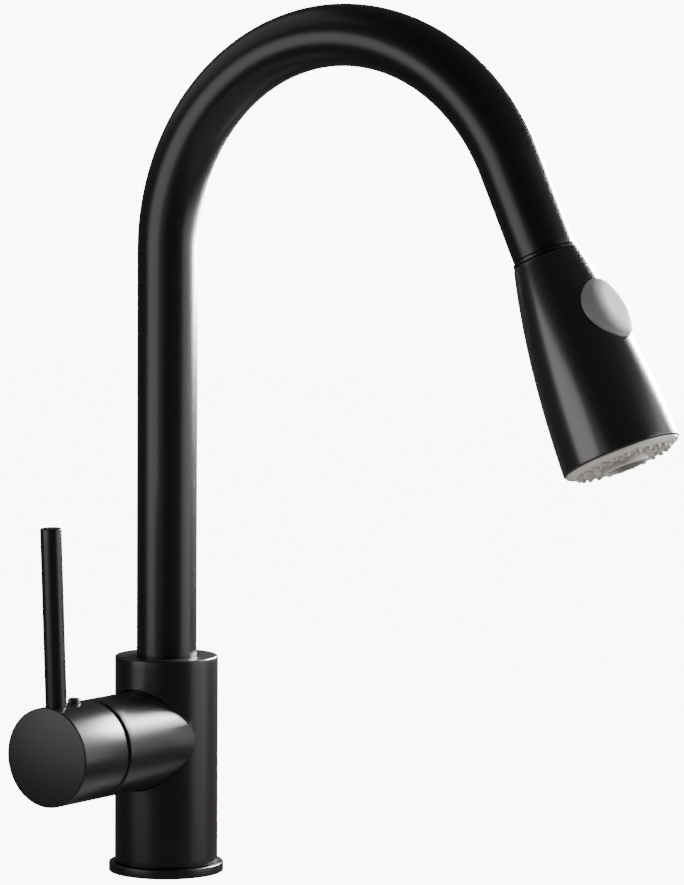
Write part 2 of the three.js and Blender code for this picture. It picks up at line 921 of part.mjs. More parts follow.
function headCore() {
  const clear = shellWall + 0.8;
  const flared = solid(
    turned(
      [
        [0, coreTop],
        [shellRadius(coreTop) - clear - 0.8, coreTop],
        ...[0.25, 0.5, 0.75, 1].map((share) => {
          const t = THREE.MathUtils.lerp(coreTop, coreEnd, share);
          return [shellRadius(t) - clear, t];
        }),
        [0, coreEnd],
      ],
      medium,
    ),
  );
  const inlet = solid(rod(coreBore, coreTop - 1, buttonAt, coarse));
  const waterway = solid(rod(4, buttonAt - 1, coreEnd + 1, small));
  const spreader = solid(turned([[0, 70], [4, 70], [18, coreEnd + 1], [0, coreEnd + 1]], coarse));
  return geometryOf(
    cut(
      flared,
      inlet,
      waterway,
      spreader,
      buttonPost(1.6, pocketFloor, 40, medium),
      buttonLineRod(springPocket + 0.4, springFloor, 40, coarse),
      buttonLineRod(spoolBore, -spoolReach + buttonFoot - buttonTravel - 2, 20, small),
    ),
  );
}

// Rings of equal count stacked into a closed body, with a middle point under the first ring and one
// over the last.
function stacked(rings, footMiddle, topMiddle) {
  const sides = rings[0].length;
  const points = [...rings.flat(), footMiddle, topMiddle];
  const foot = points.length - 2;
  const top = points.length - 1;
  const last = (rings.length - 1) * sides;
  const faces = [];
  for (let i = 0; i < sides; i += 1) {
    const next = (i + 1) % sides;
    faces.push(foot, next, i, top, last + i, last + next);
    for (let row = 0; row < last; row += sides) {
      faces.push(row + i, row + next, row + sides + next);
      faces.push(row + i, row + sides + next, row + sides + i);
    }
  }
  const geometry = new THREE.BufferGeometry();
  geometry.setAttribute("position", new THREE.Float32BufferAttribute(points.flat(), 3));
  geometry.setIndex(faces);
  geometry.computeVertexNormals();
  return geometry;
}

// An oval ring at the button whose height off the head's axis is a function of x and t.
const buttonRing = (halfWidth, halfLength, height) =>
  Array.from({ length: medium }, (_, i) => {
    const angle = (i / medium) * 2 * Math.PI;
    const x = halfWidth * Math.cos(angle);
    const t = buttonAt - halfLength * Math.sin(angle);
    return [x, height(x, t), t];
  });

// The button stands in the shell's window with an upright edge. Its flank slopes in to a crease, and
// its top follows the shell's slope and is much flatter across.
function sprayButton() {
  const footHeight = () => buttonFoot;
  const edgeHeight = (x, t) => Math.sqrt(shellRadius(t) ** 2 - x ** 2) + buttonLip;
  const topHeight = (x, t) => {
    const proud = shellRadius(t) + buttonProud;
    return proud * Math.sqrt(1 - (x / (buttonFlatness * proud)) ** 2);
  };
  const rings = [
    buttonRing(buttonHalfWidth, buttonHalfLength, footHeight),
    buttonRing(buttonHalfWidth, buttonHalfLength, edgeHeight),
    buttonRing(creaseHalfWidth, creaseHalfLength, topHeight),
    buttonRing(creaseHalfWidth / 2, creaseHalfLength / 2, topHeight),
  ];
  return stacked(rings, [0, buttonFoot, buttonAt], [0, topHeight(0, buttonAt), buttonAt]);
}

function diverterSpool() {
  const foot = buttonFoot - gap - spoolReach;
  const body = buttonLineRod(spoolRadius, foot, buttonFoot - gap, coarse);
  const waist = buttonLineRod(spoolRadius + 1, foot + 4, foot + 8, coarse).subtract(
    buttonLineRod(spoolRadius - 1.6, foot + 3, foot + 9, coarse),
  );
  return geometryOf(body.subtract(waist));
}

function buttonSpring() {
  return geometryOf(
    buttonLineRod(springPocket, springFloor + gap, buttonFoot - gap, coarse).subtract(
      buttonLineRod(springPocket - 1.2, springFloor - 1, buttonFoot + 1, coarse),
    ),
  );
}

// The swivel nut that holds the hose's tailpiece in the head.
function coneNut() {
  const top = -1.5;
  const end = coreTop - gap;
  return turned(
    [
      [6.6, tailpieceCollarAt - gap],
      [4.9, tailpieceCollarAt - gap],
      [4.9, top],
      [8.6, top],
      [9.5, top + 1],
      [9.5, end],
      [6.6, end],
      [6.6, tailpieceCollarAt - gap],
    ],
    coarse,
  );
}

// The soft face: a disc with a sloping rim, two rings of spray nubs and a middle hole.
function sprayFace() {
  const start = rimAt + gap;
  const top = start + faceHeight;
  const rim = shellRimRadius - 0.7;
  const disc = solid(
    turned(
      [
        [aeratorRadius + gap, start],
        [rim, start],
        [rim, start + 0.5],
        [rim - faceRimWidth, top],
        [aeratorRadius + gap, top],
        [aeratorRadius + gap, start],
      ],
      medium,
    ),
  );
  const nub = turned(
    [[0, top - 0.4], [nubRadius, top - 0.4], [nubTipRadius, top + nubHeight], [0, top + nubHeight]],
    5,
  );
  const nubs = nubRows.flatMap(({ radius, count }) =>
    Array.from({ length: count }, (_, i) => {
      const angle = ((i + 0.5) / count) * 2 * Math.PI;
      return solid(nub, moved(radius * Math.cos(angle), radius * Math.sin(angle), 0));
    }),
  );
  return geometryOf(nubs.reduce((joined, next) => joined.add(next), disc));
}

const plateAt = 90;
const feedCount = 6;
const feedRadius = 2;
const feedSpread = (nubRows[0].radius + nubRows[1].radius) / 2;

function nozzlePlate() {
  const plate = solid(
    ring(
      aeratorRadius - 1.7,
      shellRadius(plateAt) - shellWall - 0.4,
      plateAt,
      rimAt,
      medium,
    ),
  );
  const feeds = Array.from({ length: feedCount }, (_, i) => {
    const angle = (i / feedCount) * 2 * Math.PI;
    return solid(
      rod(feedRadius, plateAt - 1, rimAt + 1, small),
      moved(feedSpread * Math.cos(angle), feedSpread * Math.sin(angle), 0),
    );
  });
  return geometryOf(cut(plate, ...feeds));
}

function aeratorHousing() {
  const threadRadius = aeratorRadius - 2;
  const end = rimAt + aeratorProud;
  return turned(
    [
      [threadRadius - 2, plateAt],
      [threadRadius, plateAt],
      [threadRadius, rimAt + gap],
      [aeratorRadius, rimAt + gap],
      [aeratorRadius, end - 0.5],
      [aeratorRadius - 0.5, end],
      [aeratorBore, end],
      [aeratorBore, end - aeratorDepth],
      [threadRadius - 2, end - aeratorDepth],
      [threadRadius - 2, plateAt],
    ],
    medium,
  );
}

const screenAt = rimAt + aeratorProud - aeratorDepth + gap;

add(head, "head_shell", headShell(), satinBlack());
add(head, "head_core", headCore(), whitePlastic());
add(
  head,
  "dock_neck",
  ring(dockNeckRadius - 0.5, dockNeckRadius, -6, shellStart + 2, coarse),
  matteBlack(),
);
add(head, "hose_cone_nut", coneNut(), brass());
add(
  head,
  "hose_washer",
  ring(valveBore, 6.2, tailpieceCollarAt + 2 + gap, tailpieceCollarAt + 3.8, coarse),
  blackRubber(),
);
add(
  head,
  "check_valve_body",
  ring(valveBore, coreBore - gap, coreTop + 1, coreTop + 9, coarse),
  whitePlastic(),
);
add(
  head,
  "check_valve_poppet",
  turned(
    [
      [0, coreTop + 3],
      [poppetRadius, coreTop + 4],
      [poppetRadius, coreTop + 5.5],
      [poppetStemRadius, coreTop + 7],
      [poppetStemRadius, coreTop + 8.5],
      [0, coreTop + 8.5],
    ],
    small,
  ),
  whitePlastic(),
);
add(head, "nozzle_plate", nozzlePlate(), whitePlastic());
add(head, "spray_face", sprayFace(), faceGrey());
add(head, "aerator_housing", aeratorHousing(), faceGrey());
add(
  head,
  "aerator_screen",
  rod(aeratorBore - gap, screenAt, screenAt + screenThickness, coarse),
  steel(),
);
add(head, "aerator_seal", oRing(aeratorRadius - 3.2, plateAt - 1.2, 1.6, coarse), blackRubber());
add(head, "spray_button", sprayButton(), buttonGrey());
add(head, "diverter_spool", diverterSpool(), brass());
add(head, "button_spring", buttonSpring(), steel());

export default faucet;
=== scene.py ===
# A pull-down kitchen faucet: the looks of every piece, in the order in which it is put together.
import json
import math

import bpy
import numpy as np
from mathutils import Matrix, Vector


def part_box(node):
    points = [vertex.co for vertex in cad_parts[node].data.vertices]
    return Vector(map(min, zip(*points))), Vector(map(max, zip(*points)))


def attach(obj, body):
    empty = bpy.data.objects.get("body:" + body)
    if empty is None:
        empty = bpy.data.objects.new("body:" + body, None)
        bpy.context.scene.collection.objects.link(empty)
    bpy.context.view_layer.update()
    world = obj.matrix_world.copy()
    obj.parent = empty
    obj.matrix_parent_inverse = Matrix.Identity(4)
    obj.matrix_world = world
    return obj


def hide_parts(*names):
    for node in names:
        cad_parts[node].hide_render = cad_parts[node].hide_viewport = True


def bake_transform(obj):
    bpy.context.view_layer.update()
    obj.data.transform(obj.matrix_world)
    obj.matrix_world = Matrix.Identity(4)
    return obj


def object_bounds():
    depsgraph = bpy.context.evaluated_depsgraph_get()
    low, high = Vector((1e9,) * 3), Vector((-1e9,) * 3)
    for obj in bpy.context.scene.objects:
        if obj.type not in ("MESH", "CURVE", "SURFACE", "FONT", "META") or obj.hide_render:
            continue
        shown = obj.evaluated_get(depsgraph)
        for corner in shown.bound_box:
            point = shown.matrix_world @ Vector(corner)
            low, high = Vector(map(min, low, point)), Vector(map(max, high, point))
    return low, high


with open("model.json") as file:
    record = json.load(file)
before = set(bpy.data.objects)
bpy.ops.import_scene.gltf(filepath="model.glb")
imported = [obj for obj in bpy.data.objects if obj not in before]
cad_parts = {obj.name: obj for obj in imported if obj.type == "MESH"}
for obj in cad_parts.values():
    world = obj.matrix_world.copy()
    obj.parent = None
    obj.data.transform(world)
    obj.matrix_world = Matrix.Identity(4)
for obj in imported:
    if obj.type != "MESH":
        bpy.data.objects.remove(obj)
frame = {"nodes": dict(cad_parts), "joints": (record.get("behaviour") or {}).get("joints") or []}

cad_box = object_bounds()
joints = {joint["name"]: joint for joint in frame["joints"]}
MM = 0.001  # the sections below give sizes in millimetres


# ------------------------------------------------------------------ base flange and gasket
# The flange is a turned brass ring with the same satin black coat as the body. It covers the edge
# of the hole in the deck, and the rubber gasket in its underside keeps water out of it.

def box_mm(node):
    """A CAD node's lowest and highest corners in millimetres."""
    low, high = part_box(node)
    return np.array(low) / MM, np.array(high) / MM


def rounded(corners, steps=6):
    """An outline through (radius, along, fillet) corners. Each corner with a fillet becomes the arc of
    that radius that touches both its sides: centre = corner + fillet / sin(half angle) along the
    bisector, and the arc's points turn from one touching point to the other about it."""
    corners = [np.array(corner, float) for corner in corners]
    outline = []
    for i, (radius, along, fillet) in enumerate(corners):
        corner = np.array([radius, along])
        if fillet == 0 or i in (0, len(corners) - 1):
            outline.append(corner[None])
            continue
        back = corners[i - 1][:2] - corner
        ahead = corners[i + 1][:2] - corner
        back = back / np.linalg.norm(back)
        ahead = ahead / np.linalg.norm(ahead)
        half = math.acos(np.clip(back @ ahead, -1, 1)) / 2
        centre = corner + (back + ahead) / np.linalg.norm(back + ahead) * fillet / math.sin(half)
        first = corner + back * fillet / math.tan(half) - centre
        last = corner + ahead * fillet / math.tan(half) - centre
        turn = math.pi - 2 * half
        share = np.linspace(0, 1, steps + 1)[:, None]
        arc = (np.sin((1 - share) * turn) * first + np.sin(share * turn) * last) / math.sin(turn)
        outline.append(centre + arc)
    return np.concatenate(outline)


def finely(outline, step):
    """The same outline with its sides cut into stretches of about one step, at even arc length."""
    lengths = np.linalg.norm(np.diff(outline, axis=0), axis=1)
    pieces = np.maximum(1, np.round(lengths / step).astype(int))
    index = np.repeat(np.arange(len(lengths)), pieces)
    share = np.concatenate([np.arange(n) / n for n in pieces])[:, None]
    points = outline[index] + (outline[index + 1] - outline[index]) * share
    return np.vstack([points, outline[-1:]])


def straight(origin, x_axis, z_axis):
    """A straight centre line: along millimetres out from origin on z_axis, with a fixed cross-section."""
    origin, x_axis, z_axis = (np.array(v, float) for v in (origin, x_axis, z_axis))
    y_axis = np.cross(z_axis, x_axis)

    def line(along):
        ones = np.ones_like(along)[:, None]
        return origin + along[:, None] * z_axis, ones * x_axis, ones * y_axis

    return line


def surface(name, points, closed=False, uv=None):
    """A mesh piece from a grid of points, rows by columns, whose columns go round. The first and last
    rows are single points (poles), or, when closed, the last row joins the first. Points may hold
    several such grids. uv has one column more than the grid, where the last one meets the first."""
    points = points.reshape(-1, *points.shape[-3:])
    index = np.arange(points[..., 0].size).reshape(points.shape[:-1])
    if closed:
        index = np.concatenate([index, index[:, :1]], axis=1)
    else:
        index[:, 0] = index[:, 0, :1]
        index[:, -1] = index[:, -1, :1]
    beside = np.roll(index, -1, axis=2)
    quads = np.stack([index[:, :-1], beside[:, :-1], beside[:, 1:], index[:, 1:]], axis=-1)
    kept = np.ones(quads.shape, bool)
    if not closed:
        kept[:, 0, :, 1] = False
        kept[:, -1, :, 3] = False
    corners = quads[kept]
    sizes = kept.sum(axis=-1).ravel()
    used = np.zeros(index.max() + 1, bool)
    used[corners] = True
    number = np.cumsum(used) - 1

    mesh = bpy.data.meshes.new(name)
    mesh.vertices.add(int(used.sum()))
    places = points.reshape(-1, 3)[: used.size][used] * MM
    mesh.vertices.foreach_set("co", places.astype(np.float32).ravel())
    mesh.loops.add(corners.size)
    mesh.loops.foreach_set("vertex_index", number[corners].astype(np.int32))
    mesh.polygons.add(sizes.size)
    mesh.polygons.foreach_set("loop_start", (np.cumsum(sizes) - sizes).astype(np.int32))
    mesh.update(calc_edges=True)
    if uv is not None:
        uv_corners = np.stack([uv[:-1, :-1], uv[:-1, 1:], uv[1:, 1:], uv[1:, :-1]], axis=-2)[kept[0]]
        layer = mesh.uv_layers.new(name="UVMap")
        layer.data.foreach_set("uv", uv_corners.astype(np.float32).ravel())
    mesh.shade_smooth()
    mesh.set_sharp_from_angle(angle=math.radians(32))
    piece = bpy.data.objects.new(name, mesh)
    bpy.context.scene.collection.objects.link(piece)
    return piece


def turned(name, outline, line, sides=96, closed=True, uv=None):
    """A round piece: point(i, j) = centre(along i) + radius i * (cos angle j * x + sin angle j * y).
    The outline is listed out along the bottom, up the outside and back in along the top."""
    outline = outline[:-1] if closed else outline
    angle = np.arange(sides) / sides * 2 * np.pi
    centre, x_axis, y_axis = line(outline[:, 1])
    out = np.cos(angle)[None, :, None] * x_axis[:, None] + np.sin(angle)[None, :, None] * y_axis[:, None]
    return surface(name, centre[:, None] + outline[:, :1, None] * out, closed, uv)


def fit(piece, body, finish, slot, *nodes):
    """Puts a piece on its CAD body with its finish, in place of the CAD nodes that it stands for."""
    piece.data.materials.clear()
    piece.data.materials.append(finish)
    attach(piece, body)
    if nodes:
        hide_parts(*nodes)


class Value:
    """A shader node's output in sums: each operator adds its Math node to the same tree."""

    def __init__(self, tree, node, output):
        self.tree = tree
        self.node = node
        self.output = output

    def socket(self):
        return self.node.outputs[self.output]

    def other(self, output):
        return Value(self.tree, self.node, output)

    def math(self, operation, first, second=0.0):
        return self.tree.node("ShaderNodeMath", {"operation": operation}, {0: first, 1: second})

    def __add__(self, other):
        return self.math("ADD", self, other)

    def __radd__(self, other):
        return self.math("ADD", other, self)

    def __sub__(self, other):
        return self.math("SUBTRACT", self, other)

    def __rsub__(self, other):
        return self.math("SUBTRACT", other, self)

    def __mul__(self, other):
        return self.math("MULTIPLY", self, other)

    def __rmul__(self, other):
        return self.math("MULTIPLY", other, self)


class Finish:
    """One material and its node tree."""

    def __init__(self, name):
        self.material = bpy.data.materials.new(name)
        self.material.use_nodes = True
        self.nodes = self.material.node_tree.nodes
        self.links = self.material.node_tree.links
        self.nodes.clear()

    def node(self, kind, settings, sockets, output=0):
        """A new node: its settings first, then each socket's value or link. Returns one output."""
        node = self.nodes.new(kind)
        for key, value in settings.items():
            setattr(node, key, value)
        for key, value in sockets.items():
            if isinstance(value, Value):
                self.links.new(value.socket(), node.inputs[key])
            else:
                node.inputs[key].default_value = value
        return Value(self, node, output)

    def place(self, space="Object"):
        """Object or UV coordinates."""
        return self.node("ShaderNodeTexCoord", {}, {}, space)

    def noise(self, vector, scale, detail):
        """Smooth noise from 0 to 1, with scale bumps to the metre."""
        return self.node("ShaderNodeTexNoise", {}, {"Vector": vector, "Scale": scale, "Detail": detail})

    def blend(self, share, first, second):
        """One colour into another as share goes from 0 to 1."""
        sockets = {0: share, 6: (*first, 1), 7: (*second, 1)}
        return self.node("ShaderNodeMix", {"data_type": "RGBA"}, sockets, 2)

    def bump(self, height, distance, strength=1.0):
        """A normal from a height in units of distance, in metres."""
        sockets = {"Height": height, "Distance": distance, "Strength": strength}
        return self.node("ShaderNodeBump", {}, sockets)

    def done(self, **sockets):
        """The finish's surface shader, with sockets given by their names in small letters."""
        named = {key.replace("_", " ").title(): value for key, value in sockets.items()}
        shader = self.node("ShaderNodeBsdfPrincipled", {}, named)
        self.node("ShaderNodeOutputMaterial", {}, {"Surface": shader})
        return self.material


def satin_black_coat(name, gloss):
    """Satin black electrocoat: nearly black and a little warm, with a very fine orange peel, under a
    clear coat of the given weight."""
    finish = Finish(name)
    place = finish.place()
    peel = finish.noise(place, 900, 3)
    cloud = finish.noise(place, 35, 2)
    return finish.done(
        base_color=finish.blend(cloud, (0.0042, 0.0033, 0.0033), (0.0058, 0.0046, 0.0048)),
        roughness=0.26 + 0.05 * cloud + 0.03 * peel,
        coat_weight=gloss,
        coat_roughness=0.2,
        normal=finish.bump(peel, 0.00002, 0.35),
    )


def black_rubber():
    """Moulded nitrile rubber, dull and faintly grained."""
    finish = Finish("black_rubber")
    grain = finish.noise(finish.place(), 2500, 4)
    return finish.done(
        base_color=finish.blend(grain, (0.010, 0.010, 0.010), (0.022, 0.021, 0.021)),
        roughness=0.68 + 0.12 * grain,
        normal=finish.bump(grain, 0.00005, 0.5),
    )


satin_black = satin_black_coat("satin_black_metal", 0.0)
rubber = black_rubber()
up = straight((0, 0, 0), (1, 0, 0), (0, 0, 1))

flange_top_corner = box_mm("base_flange")[1]
flange_radius = flange_top_corner[0]
flange_height = flange_top_corner[2]
flange_bore = 18.3
gasket_top_corner = box_mm("base_gasket")[1]
gasket_width = 3.2
gasket_outer = gasket_top_corner[0]
gasket_inner = gasket_outer - gasket_width
gasket_height = gasket_top_corner[2]
gasket_middle = (gasket_inner + gasket_outer) / 2

flange_outline = rounded([
    (gasket_outer + 0.3, 0, 0),
    (flange_radius, 0, 0.25),
    (flange_radius, flange_height, 0.55),
    (flange_bore, flange_height, 0.3),
    (flange_bore, 0, 0.3),
    (gasket_inner - 0.3, 0, 0.1),
    (gasket_inner - 0.3, gasket_height + 0.3, 0.1),
    (gasket_outer + 0.3, gasket_height + 0.3, 0.1),
    (gasket_outer + 0.3, 0, 0),
])
fit(turned("flange_ring", flange_outline, up, 128), "body", satin_black, "satin_black", "base_flange")

gasket_outline = rounded([
    (gasket_middle, 0, 0),
    (gasket_outer, 0, 0.45),
    (gasket_outer, gasket_height, 0.45),
    (gasket_inner, gasket_height, 0.45),
    (gasket_inner, 0, 0.45),
    (gasket_middle, 0, 0),
])
fit(turned("gasket_ring", gasket_outline, up, 96), "body", rubber, "black_rubber", "base_gasket")


# ------------------------------------------------------------------ valve body
# The column and the mixer arm are one brass casting, turned outside, bored through for the hose and
# coated. The arm leaves the column with a small radius, and its open end takes the cartridge.

body_low, body_high = box_mm("valve_body")
column_radius = body_high[1]
column_top = body_high[2]
column_foot = body_low[2]
arm_reach = -body_low[0]
arm_height = joints["handle_flow"]["pos_m"][2] / MM
hub_low, hub_high = box_mm("handle_hub")
arm_radius = (hub_high[2] - hub_low[2]) / 2
outward = straight((0, 0, arm_height), (0, -1, 0), (-1, 0, 0))
tube_radius = box_mm("spout_tube")[1][0]
tube_socket = tube_radius + 0.35
socket_step = box_mm("spout_glide_ring")[0][2] - 0.3
socket_floor = box_mm("spout_adapter")[0][2] - 0.6
passage_radius = 8.5
spigot_radius = flange_bore - 0.3
column_base = flange_height + 0.3

column_outline = rounded([
    (spigot_radius, column_foot, 0),
    (spigot_radius, column_base, 0.1),
    (column_radius, column_base, 0.2),
    (column_radius, column_top, 0.9),
    (tube_socket, column_top, 0.35),
    (tube_socket, socket_step, 0.2),
    (12.3, socket_step, 0.2),
    (12.3, socket_floor, 0.2),
    (passage_radius, socket_floor, 0.2),
    (passage_radius, column_foot, 0.3),
    (spigot_radius, column_foot, 0),
])
valve_column = turned("valve_casting", finely(column_outline, 3), up, 160)


def root_rows(angle):
    """Rows of (radius, along) round the arm, from inside the column's wall out to the arm's side. The
    wall stands at along = sqrt(column radius^2 - (radius * cos angle)^2), and a fillet that shrinks to
    nothing at the arm's two sides, where the walls run together, lifts the rows off it."""
    fillet = 0.05 + 0.9 * np.sin(angle) ** 2

    def wall(radius):
        return np.sqrt((column_radius - 0.02) ** 2 - (radius * np.cos(angle)) ** 2)

    rows = [(0 * angle, 0 * angle + 16), (0 * angle + 12, 0 * angle + 16)]
    rows.append((arm_radius + fillet, wall(arm_radius + fillet) - 3))
    for turn in np.radians([90, 75, 60, 45, 30, 15, 0]):
        radius = arm_radius + fillet * math.sin(turn)
        rows.append((radius, wall(radius) + fillet * (1 - math.cos(turn))))
    return rows


def arm_grid(sides=160):
    """The arm's grid: its root rows, then its outer wall and its flat end."""
    angle = np.arange(sides) / sides * 2 * np.pi
    end_outline = rounded([
        (arm_radius, column_radius + 2, 0),
        (arm_radius, arm_reach, 0.6),
        (0, arm_reach, 0),
    ])
    end = finely(end_outline, 3)
    rows = root_rows(angle) + [(0 * angle + radius, 0 * angle + along) for radius, along in end]
    radius = np.stack([row[0] for row in rows])
    along = np.stack([row[1] for row in rows])
    return np.stack([-along, -radius * np.cos(angle), arm_height + radius * np.sin(angle)], axis=-1)


def shaped(piece, operation, *tools):
    """Joins closed tool pieces to a piece (UNION) or cuts them out of it (DIFFERENCE)."""
    for tool in tools:
        step = piece.modifiers.new("shape", "BOOLEAN")
        step.operation = operation
        step.solver = "EXACT"
        step.object = tool
    whole = piece.evaluated_get(bpy.context.evaluated_depsgraph_get())
    before = piece.data
    piece.data = bpy.data.meshes.new_from_object(whole)
    piece.modifiers.clear()
    bpy.data.meshes.remove(before)
    piece.data.shade_smooth()
    piece.data.set_sharp_from_angle(angle=math.radians(32))
    for tool in tools:
        bpy.data.objects.remove(tool)


def drill_bit(line, radius, start, end, mouth=0.0, sides=40):
    """A round cutter from start to end on a line, whose far end widens by mouth to break the edge."""
    neck = end - max(mouth, 0.01)
    outline = rounded([
        (0, start, 0),
        (radius, start, 0),
        (radius, neck, 0),
        (radius + mouth, end, 0),
        (0, end, 0),
    ])
    return turned("bit", outline, line, sides, closed=False)


def hole(x, y, radius, depth):
    """A cutter for a hole up into the underside."""
    return drill_bit(straight((x, y, 0), (1, 0, 0), (0, 0, 1)), radius, -1, depth)


chamber_radius = 20.0
chamber_floor = 17.0
port_radius = 2.4
port_depth = 60
port_back = -12.5
port_spread = 8
stud_turn = math.radians(50)
stud_radius = 3.3
stud_depth = 14
stud_x = 13.3 * math.cos(stud_turn)
stud_y = 13.3 * math.sin(stud_turn)
screw_low, screw_high = box_mm("spout_retaining_screw")
screw_height = (screw_low[2] + screw_high[2]) / 2
backward = straight((0, 0, screw_height), (1, 0, 0), (0, 1, 0))
shaped(valve_column, "UNION", surface("arm", arm_grid()))
shaped(
    valve_column,
    "DIFFERENCE",
    drill_bit(outward, chamber_radius, chamber_floor, arm_reach + 0.3, 0.4, 128),
    hole(port_back, port_spread, port_radius, port_depth),
    hole(port_back, -port_spread, port_radius, port_depth),
    hole(port_back, 0, port_radius, port_depth),
    hole(stud_x, stud_y, stud_radius, stud_depth),
    hole(stud_x, -stud_y, stud_radius, stud_depth),
    drill_bit(backward, 2.3, 13, column_radius + 0.4, 0.4),
)
fit(valve_column, "body", satin_black, "satin_black", "valve_body")


# ------------------------------------------------------------------ hose guide sleeve
# A thin white tube pushed into the column's bore. The pull-out hose slides through it without
# rubbing on the casting.

def moulded_white():
    """Glass-filled white plastic with a slight cloud in its colour."""
    finish = Finish("moulded_white")
    cloud = finish.noise(finish.place(), 250, 3)
    return finish.done(
        base_color=finish.blend(cloud, (0.70, 0.69, 0.64), (0.79, 0.78, 0.74)),
        roughness=0.42 + 0.1 * cloud,
        normal=finish.bump(cloud, 0.00003, 0.3),
    )


def refinish(finish, *nodes):
    """Gives CAD nodes that stay as they are their finish."""
    for name in nodes:
        mesh = frame["nodes"][name].data
        mesh.materials.clear()
        mesh.materials.append(finish)


white_plastic = moulded_white()
refinish(white_plastic, "hose_guide_sleeve")


# ------------------------------------------------------------------ cartridge
# A 35 mm ceramic mixer cartridge drops into the arm on three rubber seals. Its lower disc is fixed,
# the upper one slides and turns under the lever's stem, and a slotted brass nut holds it down.

def machined_brass():
    """Turned brass with fine tool marks across its axis and a little tarnish."""
    finish = Finish("machined_brass")
    place = finish.place()
    marks = finish.noise(place, 3000, 2)
    tarnish = finish.noise(place, 120, 3)
    return finish.done(
        base_color=finish.blend(tarnish, (0.55, 0.36, 0.12), (0.44, 0.28, 0.09)),
        roughness=0.24 + 0.14 * tarnish,
        metallic=1.0,
        normal=finish.bump(marks, 0.00001, 0.4),
    )


def stainless_steel():
    """Bright stainless steel with a faint grain."""
    finish = Finish("stainless_steel")
    grain = finish.noise(finish.place(), 2200, 3)
    return finish.done(
        base_color=finish.blend(grain, (0.50, 0.50, 0.50), (0.60, 0.60, 0.61)),
        roughness=0.20 + 0.14 * grain,
        metallic=1.0,
        normal=finish.bump(grain, 0.00001, 0.3),
    )


def lapped_ceramic():
    """Lapped alumina: white, very smooth and faintly speckled."""
    finish = Finish("lapped_ceramic")
    speckle = finish.noise(finish.place(), 1800, 4)
    return finish.done(
        base_color=finish.blend(speckle, (0.78, 0.77, 0.72), (0.86, 0.85, 0.81)),
        roughness=0.10 + 0.08 * speckle,
    )


brass = machined_brass()
steel = stainless_steel()
ceramic = lapped_ceramic()
refinish(rubber, "cartridge_seal_hot", "cartridge_seal_cold", "cartridge_seal_outlet")
refinish(white_plastic, "cartridge_base", "cartridge_housing", "lever_carrier", "disc_driver")
refinish(ceramic, "fixed_ceramic_disc", "moving_ceramic_disc")
refinish(steel, "pivot_pin", "cartridge_stem")
refinish(brass, "cartridge_nut")


# ------------------------------------------------------------------ bonnet ring
# A thin turned ring, coated like the body, that hides the cartridge nut. It is part of a ball round
# the lever's pivot, so the hub swings over it with an even gap.

pivot = -joints["handle_flow"]["pos_m"][0] / MM
bonnet_low, bonnet_high = box_mm("bonnet_dome")
bonnet_seat = arm_reach + 0.3
bonnet_seat_radius = (bonnet_high[2] - bonnet_low[2]) / 2
bonnet_radius = math.hypot(bonnet_seat_radius, bonnet_seat - pivot)
bonnet_mouth = math.sqrt(bonnet_radius**2 - (-bonnet_low[0] - pivot) ** 2)
bonnet_wall = 1.5


def ball_arc(radius, from_radius, to_radius, steps=16):
    """A circle's arc round the pivot between two distances off the arm's axis."""
    angle = np.linspace(math.asin(from_radius / radius), math.asin(to_radius / radius), steps)
    return np.stack([radius * np.sin(angle), pivot + radius * np.cos(angle)], axis=-1)


bonnet_outline = np.concatenate([
    ball_arc(bonnet_radius, bonnet_seat_radius, bonnet_mouth + 0.25),
    ball_arc(bonnet_radius - 0.25, bonnet_mouth, bonnet_mouth - 0.1, 3),
    ball_arc(bonnet_radius - bonnet_wall, bonnet_mouth - 0.2, 18.1, 6),
    [[18.1, bonnet_seat - 0.9], [19.6, bonnet_seat - 0.9]],
    [[19.6, bonnet_seat], [bonnet_seat_radius, bonnet_seat]],
])
fit(turned("bonnet_ring", bonnet_outline, outward, 128), "body", satin_black, "satin_black", "bonnet_dome")


# ------------------------------------------------------------------ handle
# The hub is a turned brass cup clamped on the cartridge's stem by a set screw under a small plug.
# The pin lever is a solid rod screwed into the hub's upper side, leaning a little outward.

hub_front = -hub_low[0]
hub_rear = -hub_high[0]
hub_cavity = arm_radius - 1.4
hub_ball = math.hypot(hub_rear - pivot, hub_cavity)
lever_radius = 4.88
lever_lean = math.radians(2.76)
lever_setback = 7.13
lever_foot = hub_front - lever_setback
lever_length = 81.14
lever_socket = 8.0
plug_setback = 20.06
plug_at = hub_front - plug_setback
plug_low, plug_high = box_mm("index_plug")
plug_radius = (plug_high[1] - plug_low[1]) / 2
plug_top = plug_high[2] - arm_height

hub_outline = np.concatenate([
    ball_arc(hub_ball, 0.0, hub_cavity, 24)[:-1],
    rounded([
        (hub_cavity, hub_rear, 0),
        (arm_radius, hub_rear, 0.4),
        (arm_radius, hub_front, 0.75),
        (0, hub_front, 0),
    ]),
])
hub_cup = turned("hub_cup", hub_outline, outward, 160, closed=False)
lever_line = straight(
    (-lever_foot, 0, arm_height + arm_radius),
    (0, -1, 0),
    (-math.sin(lever_lean), 0, math.cos(lever_lean)),
)
plug_line = straight((-plug_at, 0, arm_height), (0, -1, 0), (0, 0, 1))
shaped(
    hub_cup,
    "DIFFERENCE",
    drill_bit(lever_line, lever_radius + 0.18, -lever_socket - 0.2, 6),
    drill_bit(plug_line, plug_radius + 0.15, plug_top - 4, arm_radius + 6),
)
fit(hub_cup, "handle", satin_black, "satin_black", "handle_hub")

lever_outline = rounded([
    (0, -lever_socket, 0),
    (lever_radius, -lever_socket, 0.2),
    (lever_radius, lever_length, 0.5),
    (0, lever_length, 0),
])
lever_pin = turned("lever_pin", finely(lever_outline, 6), lever_line, 96, closed=False)
fit(lever_pin, "handle", satin_black, "satin_black", "handle_lever")
refinish(steel, "hub_set_screw")


